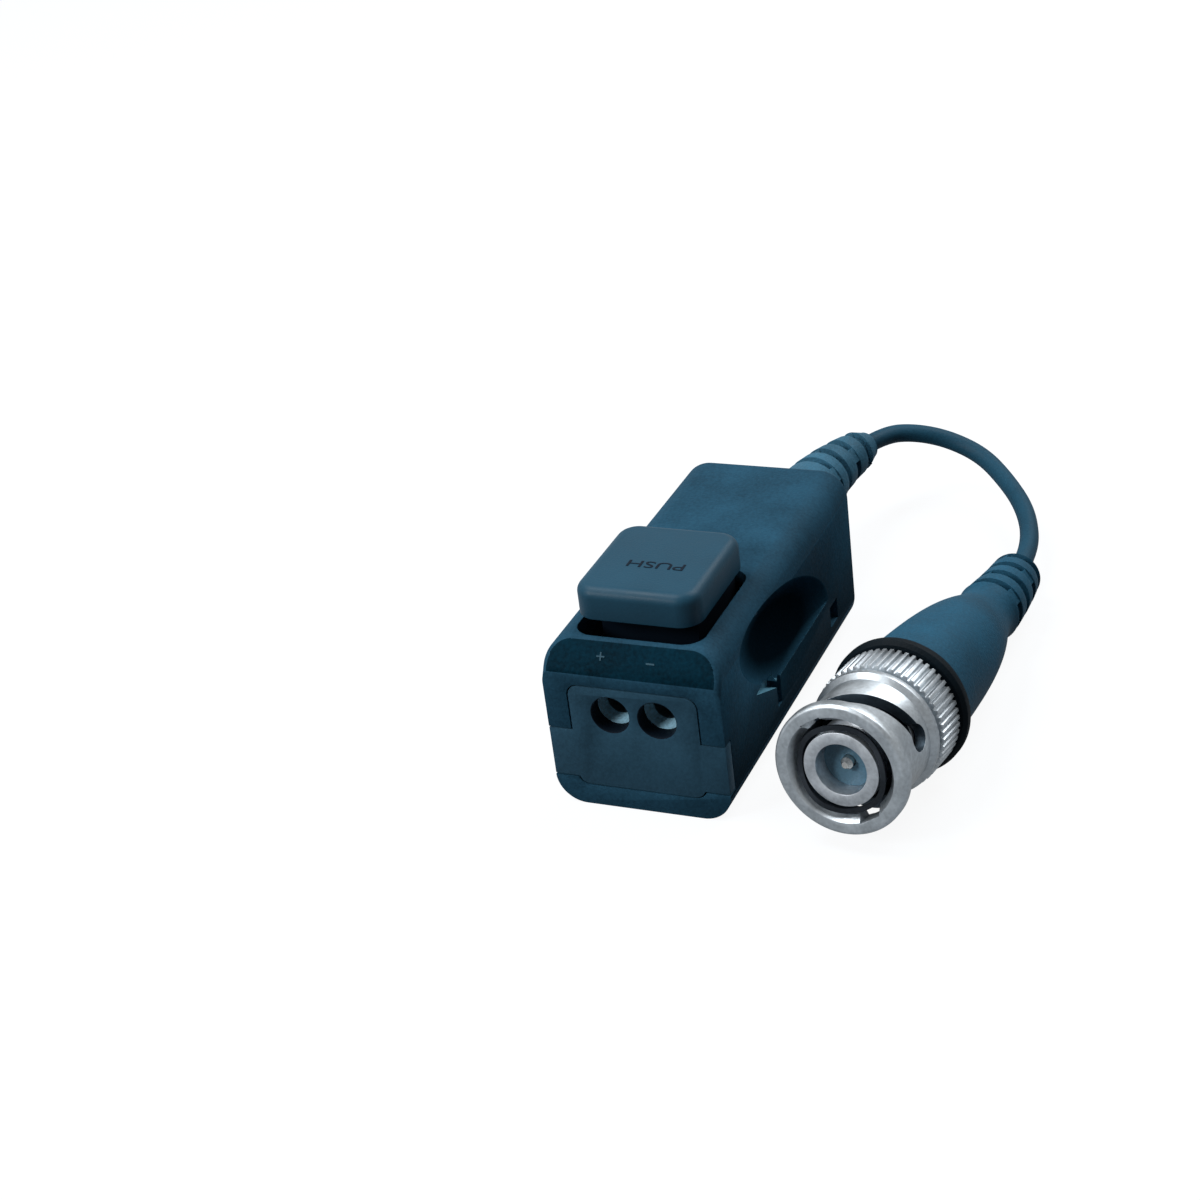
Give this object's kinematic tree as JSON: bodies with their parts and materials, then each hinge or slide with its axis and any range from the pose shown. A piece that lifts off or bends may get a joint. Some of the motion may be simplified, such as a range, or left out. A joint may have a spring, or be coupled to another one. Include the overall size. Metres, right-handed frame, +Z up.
{
  "type": "cctv video balun",
  "caption": "Passive video balun: plastic housing with a push button that frees two round wire entries, and a short coaxial lead to a bayonet video plug.",
  "frame": {"origin": "middle of the housing's underside, on the surface it lies on", "axes": "+X to the right as seen from the wire entries, +Y from the front panel to the lead's exit, +Z up through the button"},
  "size_m": [0.0422, 0.0821, 0.0247],
  "materials": {
    "housing_plastic": "fine matte grain, near black with a cool cast",
    "panel_plastic": "smooth matte, near black",
    "block_plastic": "moulded, hidden",
    "button_plastic": "satin, near black with a cool cast",
    "contact_brass": "bare",
    "spring_steel": "drawn wire",
    "board_laminate": "solder resist",
    "ferrite": "sintered",
    "enamelled_copper": "enamelled wire",
    "chip_black": "moulded",
    "relief_rubber": "moulded, near black",
    "jacket": "smooth, near black",
    "copper_wire": "bare copper",
    "nickel": "bright nickel plating",
    "inner_nickel": "nickel plating",
    "seal_rubber": "moulded",
    "insulator_plastic": "pale, slightly waxy",
    "boot_rubber": "moulded, near black"
  },
  "bodies": {
    "base": {"housing_shell": "housing_plastic", "front_panel": "panel_plastic", "terminal_block": "block_plastic", "contact_left": "contact_brass", "contact_right": "contact_brass", "return_spring": "spring_steel", "circuit_board": "board_laminate", "transformer_core": "ferrite", "primary_winding": "enamelled_copper", "secondary_winding": "enamelled_copper", "surge_suppressor": "chip_black", "chip_resistor": "chip_black", "housing_relief": "relief_rubber", "cable_end": "jacket", "core_wire": "copper_wire", "shield_wire": "copper_wire", "plug_body": "inner_nickel", "retaining_ring": "spring_steel", "gasket": "seal_rubber", "insulator": "insulator_plastic", "centre_pin": "contact_brass", "crimp_ferrule": "inner_nickel", "plug_boot": "boot_rubber", "cable": "jacket"},
    "button": {"push_button": "button_plastic"},
    "nut_carrier": {"thrust_washer": "inner_nickel", "wave_washer": "spring_steel"},
    "nut": {"coupling_nut": "nickel"}
  },
  "joints": [
    {"name": "button_press", "type": "slide", "parent": "base", "child": "button", "axis": [0, 0, -1], "range_m": [0, 0.0018], "stiffness_N_per_m": 600, "springref_m": -0.002, "deforming": ["return_spring"]},
    {"name": "nut_float", "type": "slide", "parent": "base", "child": "nut_carrier", "axis": [-0.1022, -0.9891, 0.1063], "range_m": [0, 0.0005], "stiffness_N_per_m": 8000, "springref_m": -0.0005},
    {"name": "nut_spin", "type": "hinge", "parent": "nut_carrier", "child": "nut", "pos_m": [0.02285, -0.024, 0.00942], "axis": [-0.1022, -0.9891, 0.1063], "continuous": true}
  ]
}
